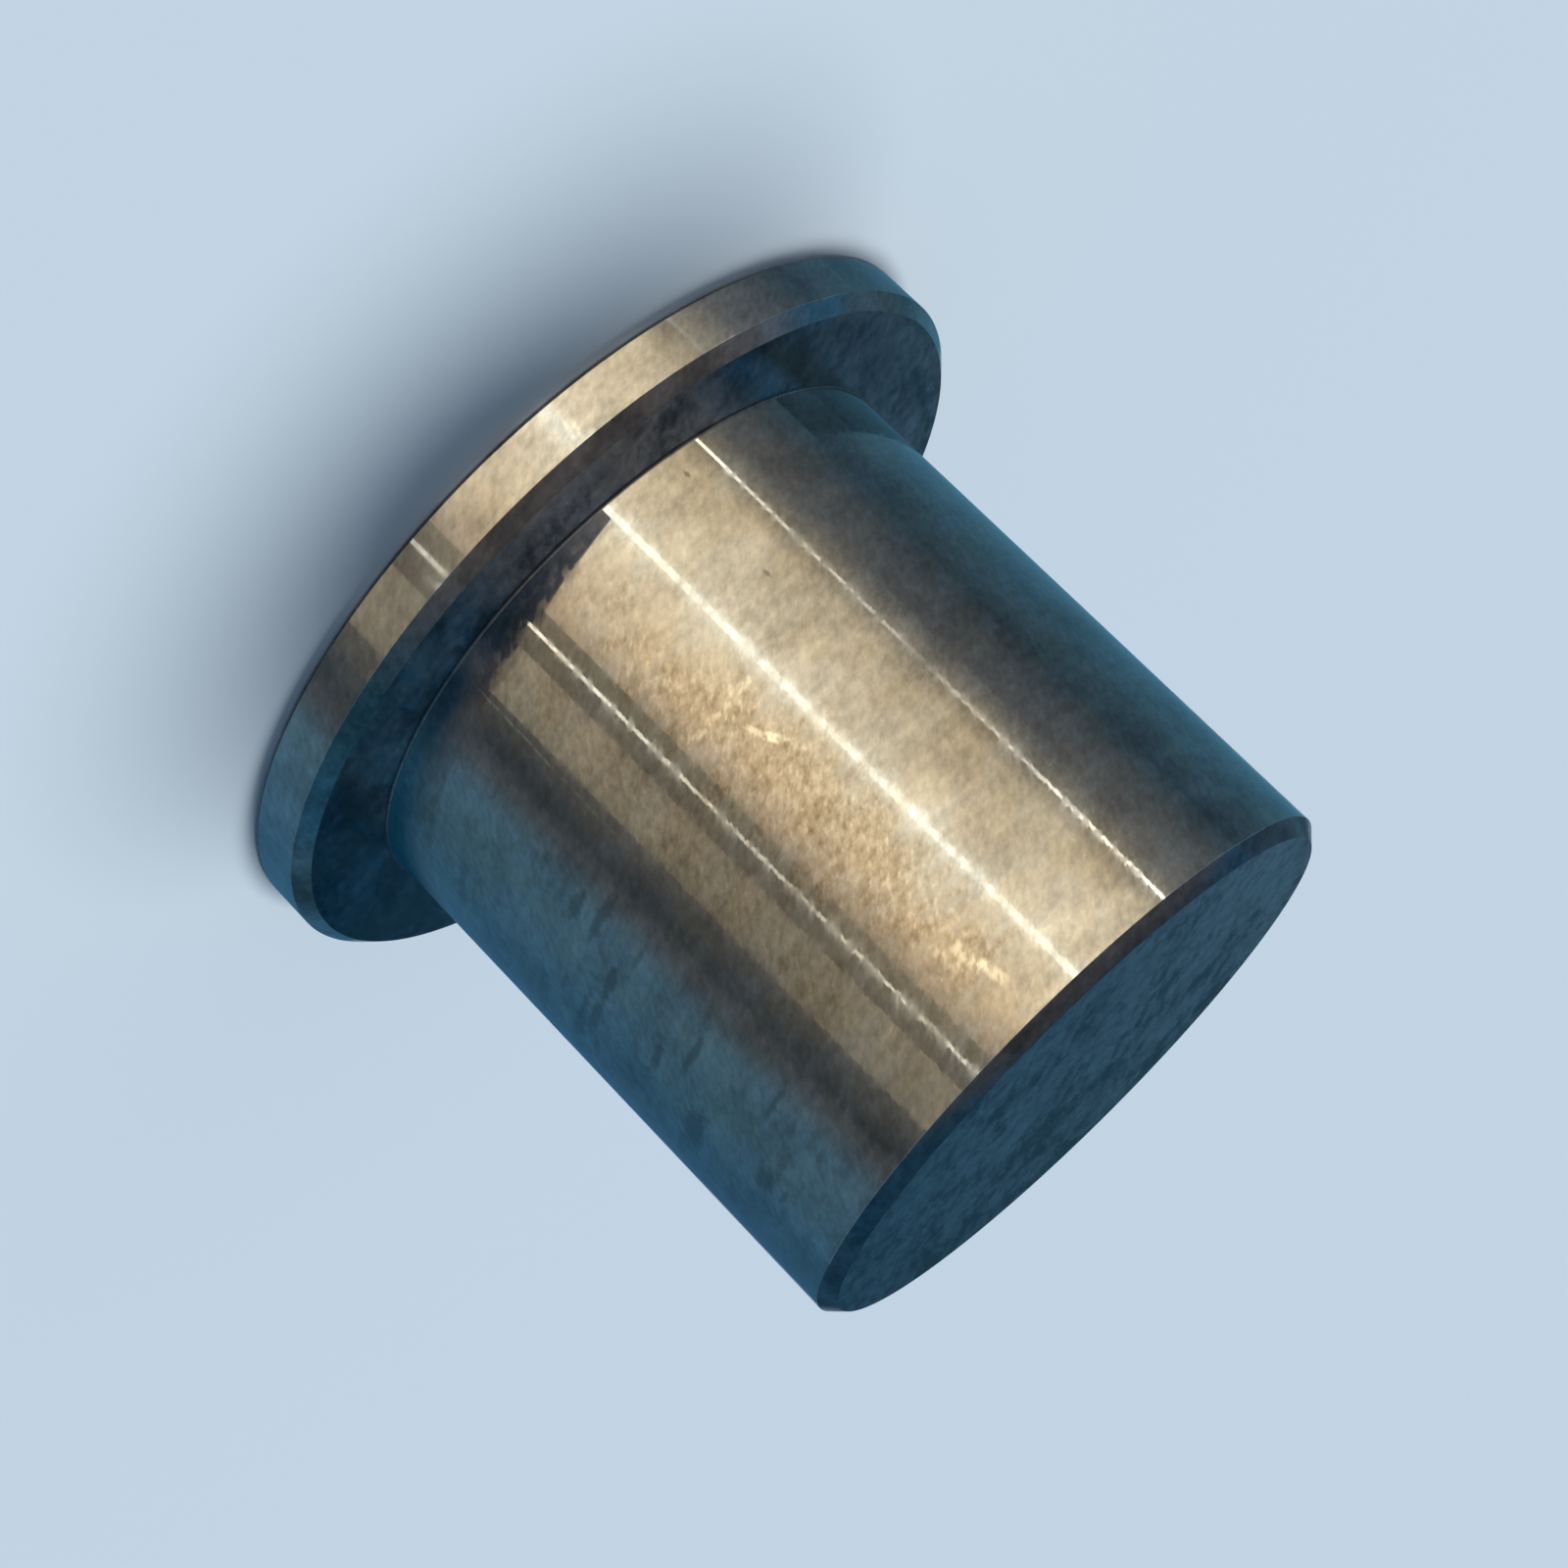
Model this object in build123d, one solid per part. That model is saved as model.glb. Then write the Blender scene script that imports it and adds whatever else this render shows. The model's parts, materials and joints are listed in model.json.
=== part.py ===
from build123d import *
import os

# Flanged bushing with a closed nose, turned from one piece of steel bar.
# Lengths are in millimetres. The origin is the centre of the flange's outer face, on which the
# bushing stands, and +Z runs along its axis to the closed nose.

# Outside sizes
body_diameter = 38.0
flange_diameter = 50.4
flange_thickness = 3.95
overall_length = 40.3

# Edges of the outside
nose_chamfer = 0.8
flange_front_chamfer = 0.8
flange_back_break = 0.3
root_fillet = 0.4

# Blind bore, which opens in the flange's outer face
bore_diameter = 25.0
nose_wall = 6.3
bore_mouth_chamfer = 1.0
bore_floor_fillet = 0.8


def flange_disc():
    """Round flange, with the chamfer on the body's side and the small break on the outer face."""
    disc = Cylinder(flange_diameter / 2, flange_thickness, align=(Align.CENTER, Align.CENTER, Align.MIN))
    rims = disc.edges().filter_by(GeomType.CIRCLE).sort_by(Axis.Z)
    disc = chamfer(rims[-1], flange_front_chamfer)
    rims = disc.edges().filter_by(GeomType.CIRCLE).sort_by(Axis.Z)
    return chamfer(rims[0], flange_back_break)


def ground_body():
    """Plain cylinder from the flange's outer face to the nose, with the nose chamfer."""
    body = Cylinder(body_diameter / 2, overall_length, align=(Align.CENTER, Align.CENTER, Align.MIN))
    nose_rim = body.edges().filter_by(GeomType.CIRCLE).sort_by(Axis.Z)[-1]
    return chamfer(nose_rim, nose_chamfer)


def round_root(blank):
    """Small fillet in the corner between the body and the flange's face."""
    corner = [
        edge
        for edge in blank.edges().filter_by(GeomType.CIRCLE)
        if abs(edge.radius - body_diameter / 2) < 0.001 and abs(edge.center().Z - flange_thickness) < 0.001
    ]
    return fillet(corner, root_fillet)


def bore_outline():
    """Half section of the bore: flared at its mouth, straight, and rounded where it meets its floor."""
    bore_radius = bore_diameter / 2
    mouth_radius = bore_radius + bore_mouth_chamfer
    bore_floor = overall_length - nose_wall
    wall_end = bore_floor - bore_floor_fillet
    floor_end = bore_radius - bore_floor_fillet
    mouth = Line((0, 0), (mouth_radius, 0))
    flare = Line((mouth_radius, 0), (bore_radius, bore_mouth_chamfer))
    wall = Line((bore_radius, bore_mouth_chamfer), (bore_radius, wall_end))
    corner = RadiusArc((bore_radius, wall_end), (floor_end, bore_floor), -bore_floor_fillet)
    floor = Line((floor_end, bore_floor), (0, bore_floor))
    axis_line = Line((0, bore_floor), (0, 0))
    return Plane.XZ * make_face(Curve() + [mouth, flare, wall, corner, floor, axis_line])


def blind_bore():
    """The space of the bore, as a solid to cut away."""
    return revolve(bore_outline(), Axis.Z)


def flanged_bushing():
    """The whole bushing, as one solid."""
    blank = round_root(flange_disc() + ground_body())
    bushing = blank - blind_bore()
    bushing.label = "flanged_bushing"
    return bushing


os.makedirs("parts", exist_ok=True)
export_step(flanged_bushing(), "parts/flanged_bushing.step")
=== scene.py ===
"""Steel bushing with a thin flange and a closed nose, standing on its flange on a pale floor."""

import enum
import json
import logging
import math
from collections.abc import Callable
from dataclasses import dataclass
from functools import partial
from typing import ClassVar

import bmesh
import bpy
from mathutils import Matrix, Vector


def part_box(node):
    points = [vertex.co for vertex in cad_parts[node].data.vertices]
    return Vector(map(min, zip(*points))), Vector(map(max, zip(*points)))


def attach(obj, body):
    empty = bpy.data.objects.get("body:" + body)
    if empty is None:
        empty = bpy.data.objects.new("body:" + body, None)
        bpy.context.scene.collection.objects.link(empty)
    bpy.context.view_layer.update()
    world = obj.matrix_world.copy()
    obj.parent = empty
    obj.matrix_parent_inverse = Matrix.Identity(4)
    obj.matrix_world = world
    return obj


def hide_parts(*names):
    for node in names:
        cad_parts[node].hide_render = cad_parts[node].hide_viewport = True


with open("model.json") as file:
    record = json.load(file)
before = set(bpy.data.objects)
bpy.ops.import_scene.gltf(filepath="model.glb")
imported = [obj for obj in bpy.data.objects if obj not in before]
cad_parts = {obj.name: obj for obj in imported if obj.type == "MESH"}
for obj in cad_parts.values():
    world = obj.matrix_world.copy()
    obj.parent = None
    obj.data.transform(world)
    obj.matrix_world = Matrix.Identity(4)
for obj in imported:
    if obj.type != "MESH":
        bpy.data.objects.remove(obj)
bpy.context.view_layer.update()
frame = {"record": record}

NODE = "flanged_bushing"
MM = 0.001
TOUCH = 0.01 * MM
MERGE = 0.001 * MM

Colour = tuple[float, float, float]
Levels = tuple[float, ...]
EVEN: Levels = (1.0, 1.0)

log = logging.getLogger("bushing")


class Surface(enum.IntEnum):
    """The machined surfaces of the bushing, numbered as its material slots."""

    GROUND = 0
    FACED = 1
    RIM = 2
    EDGE = 3
    ROOT = 4
    BORED = 5
    NOSE_EDGE = 6


class Sheet(enum.Enum):
    """The sheets of a light card: each lies on the light paths of one surface of the bushing."""

    BODY = "body"
    RIM = "rim"
    LIP = "lip"
    FOOT = "foot"


@dataclass(frozen=True)
class Sizes:
    """Sizes of the bushing in metres. The main ones come from the frame.

    The edges repeat its drawing, apart from the corner between the body and the flange, which is
    drawn tighter because a wide one shows as a dark ring.

    Args:
        flange_radius: Outside radius of the flange.
        body_radius: Radius of the ground body.
        bore_radius: Radius of the blind bore.
        flange_top: Height of the flange's shoulder.
        height: Height of the nose's end face.
        bore_floor: Height of the bore's floor.
        nose_chamfer: Width of the chamfer at the nose.
        flange_chamfer: Width of the chamfer on the flange's upper edge.
        back_break: Width of the edge break on the flange's lower edge.
        root_fillet: Radius of the corner between the body and the flange.
        mouth_chamfer: Width of the chamfer at the bore's mouth.
        floor_fillet: Radius of the corner at the bore's floor.
        edge_round: Width that handling has rounded off the sharp edges.
    """

    flange_radius: float
    body_radius: float
    bore_radius: float
    flange_top: float
    height: float
    bore_floor: float
    nose_chamfer: float = 0.8 * MM
    flange_chamfer: float = 0.8 * MM
    back_break: float = 0.3 * MM
    root_fillet: float = 0.15 * MM
    mouth_chamfer: float = 1.0 * MM
    floor_fillet: float = 0.8 * MM
    edge_round: float = 0.03 * MM

    @classmethod
    def from_frame(cls) -> "Sizes":
        """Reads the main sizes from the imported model.

        Returns:
            The sizes, with the edges at their usual values.
        """
        mounts = {mount["name"]: mount for mount in frame["record"]["mounts"]}
        _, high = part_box(NODE)
        bore = mounts["bore"]
        half_bore = bore["dims"]["length_mm"] * MM / 2
        return cls(
            flange_radius=high.x,
            body_radius=mounts["body_seat"]["dims"]["r_mm"] * MM,
            bore_radius=bore["dims"]["r_mm"] * MM,
            flange_top=mounts["flange_shoulder"]["pos_m"][2],
            height=high.z,
            bore_floor=bore["pos_m"][2] + half_bore + cls.floor_fillet,
        )


class Wire:
    """A shader socket with arithmetic: an expression on wires and numbers adds its Math nodes."""

    def __init__(self, graph: "Graph", socket: bpy.types.NodeSocket) -> None:
        """Keeps the output socket that this wire starts from, and the graph that new nodes go to."""
        self.graph = graph
        self.socket = socket

    def __add__(self, other: "Wire | float") -> "Wire":
        """Returns self + other."""
        return self.graph.math("ADD", self, other)

    def __radd__(self, other: float) -> "Wire":
        """Returns other + self."""
        return self.graph.math("ADD", other, self)

    def __sub__(self, other: "Wire | float") -> "Wire":
        """Returns self - other."""
        return self.graph.math("SUBTRACT", self, other)

    def __rsub__(self, other: float) -> "Wire":
        """Returns other - self."""
        return self.graph.math("SUBTRACT", other, self)

    def __mul__(self, other: "Wire | float") -> "Wire":
        """Returns self * other."""
        return self.graph.math("MULTIPLY", self, other)

    def __rmul__(self, other: float) -> "Wire":
        """Returns other * self."""
        return self.graph.math("MULTIPLY", other, self)

    def __truediv__(self, other: "Wire | float") -> "Wire":
        """Returns self / other."""
        return self.graph.math("DIVIDE", self, other)

    def __rtruediv__(self, other: float) -> "Wire":
        """Returns other / self."""
        return self.graph.math("DIVIDE", other, self)

    def __neg__(self) -> "Wire":
        """Returns -self."""
        return self.graph.math("MULTIPLY", self, -1.0)


class Graph:
    """Adds nodes to one node tree."""

    def __init__(self, tree: bpy.types.NodeTree) -> None:
        """Takes the node tree of a material or of the world, and empties it."""
        self.tree = tree
        tree.nodes.clear()

    def node(self, kind: str, settings: dict | None = None, inputs: dict | None = None) -> bpy.types.Node:
        """Makes one node of any type.

        Args:
            kind: Node type, such as ShaderNodeMath.
            settings: Properties of the node, set before its sockets.
            inputs: Values or wires for its input sockets, by name or number.

        Returns:
            The new node.
        """
        made = self.tree.nodes.new(kind)
        for name, value in (settings or {}).items():
            setattr(made, name, value)
        for key, value in (inputs or {}).items():
            if isinstance(value, Wire):
                self.tree.links.new(value.socket, made.inputs[key])
            else:
                made.inputs[key].default_value = value
        return made

    def wire(self, kind: str, output: str | int = 0, settings: dict | None = None,
             inputs: dict | None = None) -> Wire:
        """Makes a node and returns a wire from one of its outputs."""
        return Wire(self, self.node(kind, settings, inputs).outputs[output])

    def math(self, operation: str, a: Wire | float, b: Wire | float = 0.0) -> Wire:
        """Returns the result of a Math node, with the operation named as Blender spells it."""
        return self.wire("ShaderNodeMath", settings={"operation": operation}, inputs={0: a, 1: b})

    def clamp(self, value: Wire, low: float = 0.0, high: float = 1.0) -> Wire:
        """Returns the value held between low and high."""
        return self.wire("ShaderNodeClamp", inputs={"Value": value, "Min": low, "Max": high})

    def rise(self, value: Wire, low: float, high: float) -> Wire:
        """Returns 0 below low and 1 above high, with a smooth rise between them."""
        return self.wire(
            "ShaderNodeMapRange",
            settings={"interpolation_type": "SMOOTHSTEP"},
            inputs={"Value": value, "From Min": low, "From Max": high},
        )

    def combine(self, x: Wire | float, y: Wire | float, z: Wire | float) -> Wire:
        """Returns the vector of three values."""
        return self.wire("ShaderNodeCombineXYZ", inputs={"X": x, "Y": y, "Z": z})

    def noise(self, place: Wire, detail: float, roughness: float) -> Wire:
        """Returns fractal noise, mostly from 0.2 to 0.8, with one feature to the unit of place."""
        inputs = {"Vector": place, "Scale": 1.0, "Detail": detail, "Roughness": roughness}
        return self.wire("ShaderNodeTexNoise", "Fac", inputs=inputs)

    def blend(self, factor: Wire, a: Wire | Colour, b: Wire | Colour) -> Wire:
        """Mixes two colours.

        Args:
            factor: 0 gives the first colour and 1 the second.
            a: First colour.
            b: Second colour.

        Returns:
            The mixed colour.
        """
        mix = self.node("ShaderNodeMix", {"data_type": "RGBA"})
        self.tree.links.new(factor.socket, mix.inputs[0])
        for socket, value in zip([s for s in mix.inputs if s.type == "RGBA"], (a, b)):
            if isinstance(value, Wire):
                self.tree.links.new(value.socket, socket)
            else:
                socket.default_value = (*value, 1.0)
        return Wire(self, [s for s in mix.outputs if s.type == "RGBA"][0])


@dataclass(frozen=True)
class Pattern:
    """A noise on the metal.

    Args:
        round_mm: Length of a feature round the axis.
        along_mm: Length of a feature along the axis.
        lean: Lean of the helix that the features follow, as millimetres round for one along.
        shift: Moves the pattern, so that two like patterns differ.
        detail: Number of finer octaves.
        roughness: Strength of each octave against the one before.
        band: Values between which it rises from 0 to 1. Without them it keeps its own values.
        by_section: Whether its second length runs along the section, over ends and walls alike.
    """

    round_mm: float
    along_mm: float
    lean: float = 0.0
    shift: float = 0.0
    detail: float = 2.0
    roughness: float = 0.5
    band: tuple[float, float] | None = None
    by_section: bool = False


CLOUDS = Pattern(3.2, 2.6, detail=3.0, roughness=0.55)
SMEARS = Pattern(2.8, 0.6, shift=7.0, roughness=0.55)
GRAINS = Pattern(0.5, 0.5, lean=-0.6, detail=2.5, roughness=0.62)
FLECKS = Pattern(0.34, 0.4, lean=-0.7, shift=53.0, detail=1.5)
TARNISH = Pattern(4.5, 3.5, shift=90.0, band=(0.4, 0.62))
STAIN_SPOTS = Pattern(1.2, 0.7, lean=-0.35, shift=31.0, detail=3.0, roughness=0.6, band=(0.56, 0.72))
MATT_DASHES = Pattern(0.9, 0.75, lean=-0.6, shift=23.0, detail=1.5, roughness=0.6, band=(0.42, 0.6))
SOIL_PATCHES = Pattern(4.5, 3.5, shift=71.0, detail=1.0)
SOIL_SPOTS = Pattern(0.9, 1.1, shift=61.0, detail=3.0, roughness=0.62)
BEADS = Pattern(0.45, 0.5, lean=-0.7, shift=19.0, detail=1.0)
WAVES = Pattern(6.0, 7.0, shift=3.0, detail=0.0)
GROOVES = Pattern(6.0, 0.16, shift=11.0, detail=1.0, by_section=True)


NOISE_MIDDLE = 0.5


class LatheSpace:
    """Places on the turned surface in millimetres: round it, along its section, and on a helix."""

    def __init__(self, graph: Graph, radius: float) -> None:
        """Splits the object's own coordinates into an angle, a radius and a height.

        Args:
            graph: Graph to add the nodes to.
            radius: Radius in metres at which lengths round the axis are true.
        """
        self.graph = graph
        self.radius_mm = radius / MM
        split = graph.node("ShaderNodeSeparateXYZ", inputs={0: graph.wire("ShaderNodeTexCoord", "Object")})
        x, y, z = (Wire(graph, split.outputs[name]) * (1.0 / MM) for name in "XYZ")
        self.x, self.y, self.height = x, y, z
        self.out = graph.math("SQRT", x * x + y * y)
        self.angle = graph.math("ARCTAN2", x, -y)
        self.section = z - self.out

    def place(self, pattern: Pattern) -> Wire:
        """Gives seamless coordinates for a noise round the axis or along a helix.

        Args:
            pattern: The noise.

        Returns:
            The place to read the noise at.
        """
        turned = self.angle
        if pattern.lean:
            turned = turned + self.height * (pattern.lean / self.radius_mm)
        reach = self.out / pattern.round_mm
        down = self.section if pattern.by_section else self.height
        return self.graph.combine(
            self.graph.math("SINE", turned) * reach + pattern.shift,
            self.graph.math("COSINE", turned) * reach,
            down / pattern.along_mm,
        )

    def read(self, pattern: Pattern) -> Wire:
        """Returns the pattern's value at each place."""
        value = self.graph.noise(self.place(pattern), pattern.detail, pattern.roughness)
        return self.graph.rise(value, *pattern.band) if pattern.band else value

    def sway(self, pattern: Pattern) -> Wire:
        """Returns the pattern's value about zero."""
        return self.read(pattern) - NOISE_MIDDLE


class FacedSpace(LatheSpace):
    """Places on a faced end, where all features are strokes that run from front to back.

    Attributes:
        stroke: How much longer a feature is from front to back.
        slant: Slant of the strokes, as a share of their length.
    """

    stroke = 2.2
    slant = 0.15

    def place(self, pattern: Pattern) -> Wire:
        """Gives coordinates for a noise that is drawn out from front to back.

        Args:
            pattern: The noise.

        Returns:
            The place to read the noise at.
        """
        across = self.x - self.y * self.slant
        return self.graph.combine(across / pattern.round_mm + pattern.shift,
                                  self.y / (self.stroke * pattern.along_mm), 0.0)


@dataclass(frozen=True)
class Stain:
    """A dark oval stain on the ground body.

    Args:
        degrees: Place round the axis, from the side that faces -Y towards +X.
        height_mm: Height of its middle.
        round_mm: Half its length round the axis.
        along_mm: Half its width along the axis.
        strength: Share of the steel's brightness that it takes away.

    Attributes:
        edge: Distances between which it fades out, as shares of its size.
    """

    degrees: float
    height_mm: float
    round_mm: float
    along_mm: float
    strength: float
    edge: ClassVar[tuple[float, float]] = (0.4, 1.2)

    def mask(self, space: LatheSpace, ragged: Wire) -> Wire:
        """Adds the nodes of the stain.

        Args:
            space: Places on the turned surface.
            ragged: Noise that frays the stain's edge, about zero.

        Returns:
            The share of brightness taken away at each place.
        """
        graph = space.graph
        across = (space.angle - math.radians(self.degrees)) * (space.radius_mm / self.round_mm)
        along = (space.height - self.height_mm) * (1.0 / self.along_mm)
        away = graph.math("SQRT", across * across + along * along) + ragged
        return (1.0 - graph.rise(away, *self.edge)) * self.strength


@dataclass(frozen=True)
class Scratch:
    """A thin straight scratch on the ground body.

    Args:
        start: Degrees round the axis and height in millimetres of one end.
        end: The same of the other end.
        width_mm: Half its width.
        strength: How bright it is.

    Attributes:
        taper: Distances in millimetres past its ends between which it fades out.
        core: Share of its width that is fully bright.
    """

    start: tuple[float, float]
    end: tuple[float, float]
    width_mm: float
    strength: float
    taper: ClassVar[tuple[float, float]] = (-0.5, 0.1)
    core: ClassVar[float] = 0.3

    def mask(self, space: LatheSpace, wobble: Wire) -> Wire:
        """Adds the nodes of the scratch.

        Args:
            space: Places on the turned surface.
            wobble: Noise in millimetres that keeps the line from being quite straight.

        Returns:
            The strength of the scratch at each place.
        """
        graph = space.graph
        begin = Vector((math.radians(self.start[0]) * space.radius_mm, self.start[1]))
        finish = Vector((math.radians(self.end[0]) * space.radius_mm, self.end[1]))
        reach = (finish - begin).length
        way = (finish - begin) / reach
        across = space.angle * space.radius_mm - begin.x
        along = space.height - begin.y
        travelled = across * way.x + along * way.y
        aside = graph.math("ABSOLUTE", along * way.x - across * way.y + wobble)
        beyond = graph.math("ABSOLUTE", travelled - reach / 2) - reach / 2
        inside = 1.0 - graph.rise(beyond, *self.taper)
        return (1.0 - graph.rise(aside, self.core * self.width_mm, self.width_mm)) * inside * self.strength


# Of each stain: degrees, height, half its length round the axis, half its width along it, and strength.
STAINS = tuple(Stain(*sizes) for sizes in (
    (-22.2, 12.7, 0.13, 0.3, 0.9), (-24.9, 5.5, 0.16, 0.3, 0.9), (48.5, 34.6, 1.9, 0.34, 0.48),
    (54.0, 34.1, 1.4, 0.72, 0.65), (53.6, 35.5, 0.8, 0.24, 0.48), (39.5, 32.4, 1.4, 0.24, 0.57),
    (41.0, 33.8, 0.9, 0.45, 0.36), (60.5, 29.1, 2.5, 0.93, 0.7), (67.0, 28.7, 1.8, 0.45, 0.4),
    (45.0, 27.2, 1.6, 0.32, 0.65), (52.6, 25.4, 1.7, 0.5, 0.7), (39.5, 21.8, 1.3, 0.23, 0.48),
    (47.5, 21.1, 2.2, 0.42, 0.7), (57.0, 21.1, 1.9, 0.5, 0.65), (66.0, 21.7, 1.8, 0.32, 0.48),
    (63.0, 20.2, 2.9, 0.45, 0.57), (73.0, 20.3, 1.8, 0.38, 0.4), (38.0, 18.8, 1.9, 0.45, 0.65),
    (40.5, 17.1, 1.3, 0.56, 0.65), (57.0, 18.5, 1.2, 0.24, 0.4), (66.0, 17.3, 2.8, 0.51, 0.36),
    (56.5, 10.1, 1.5, 0.38, 0.48), (63.0, 10.4, 1.0, 0.51, 0.4), (39.0, 14.0, 0.5, 1.12, 0.29),
    (40.0, 36.0, 0.7, 0.23, 0.4), (66.0, 32.7, 1.8, 0.59, 0.33), (58.0, 37.9, 1.1, 0.45, 0.33),
    (59.0, 36.1, 1.1, 0.38, 0.33),
))

# Of each scratch: degrees and height of both ends, half its width, and strength.
SCRATCHES = tuple(Scratch(*sizes) for sizes in (
    ((-9.0, 16.5), (7.0, 16.8), 0.34, 0.47), ((-7.0, 20.6), (-4.4, 20.1), 0.16, 0.4),
    ((-4.6, 20.2), (-3.0, 19.1), 0.36, 1.2), ((-3.2, 19.3), (-2.1, 18.0), 0.26, 0.6),
    ((-2.6, 37.4), (-1.9, 35.4), 0.45, 0.55), ((-1.5, 36.2), (-1.0, 33.8), 0.55, 0.58),
    ((1.0, 35.2), (2.2, 33.0), 0.4, 0.4), ((9.8, 33.6), (13.2, 34.6), 0.14, 0.45),
    ((13.2, 34.6), (17.2, 34.8), 0.14, 0.45), ((24.6, 5.6), (24.9, 12.0), 0.12, 0.5),
    ((24.9, 12.0), (25.2, 18.0), 0.1, 0.25),
))
RIM_SCRATCHES = (
    Scratch((-12.0, 3.0), (-12.6, 1.6), 0.14, 0.3),
    Scratch((-11.0, 2.9), (-12.0, 1.2), 0.12, 0.2),
)

# Colour: shares of the noises in it, and how much more they show in the zones of wear and painted warm
# highlight.
CLOUD_SHARE, SMEAR_SHARE, GRAIN_SHARE = 0.9, 0.4, 0.9
PLAIN_GRAIN, WEAR_AND_HIGHLIGHT_GRAIN = 0.86, 1.05
PLAIN_FLECKS, WEAR_AND_HIGHLIGHT_WARMTH = 0.2, 0.5
FLECK_BAND = (0.5, 0.8)
ZONE_FRAY = 1.5
STAIN_SMEARS, STAIN_GRAINS = 0.9, 1.3

# Scratches: how they bend, and how they break up into dashes without ever going out.
SCRATCH_BEND, SCRATCH_LEAST = 0.35, 0.25
SCRATCH_BAND = (0.38, 0.56)

# Gloss: what the noises add to the roughness, and the heights over which the foot grows matt.
CLOUD_MATTING, STAIN_MATTING = 0.08, 0.06
FOOT_BAND = (7.0, 13.0)
ROUGHNESS_LIMITS = (0.05, 0.9)
QUARTER_TURN = 0.25

# Relief: the heights over which the beads come up, and what there is of them below.
BEAD_BAND = (9.0, 19.0)
BEAD_LEAST = 0.25

# Dirt and painted shade: dull bluish spots, partly dirt; they lie more thickly towards the back, and half
# as much so towards +X, which is painted shade.
SOIL_AND_SHADE_COLOUR = (0.0035, 0.018, 0.029)
SOIL_AND_SHADE_ROUGHNESS, SOIL_AND_SHADE_SHEEN = 0.7, 0.1
PAINTED_SHADE_BACKWARD, PAINTED_SHADE_SIDEWARD = 0.005, 0.5
SOIL_PATCHINESS = 0.9
SOIL_AND_SHADE_BAND = (0.42, 0.74)


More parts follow.
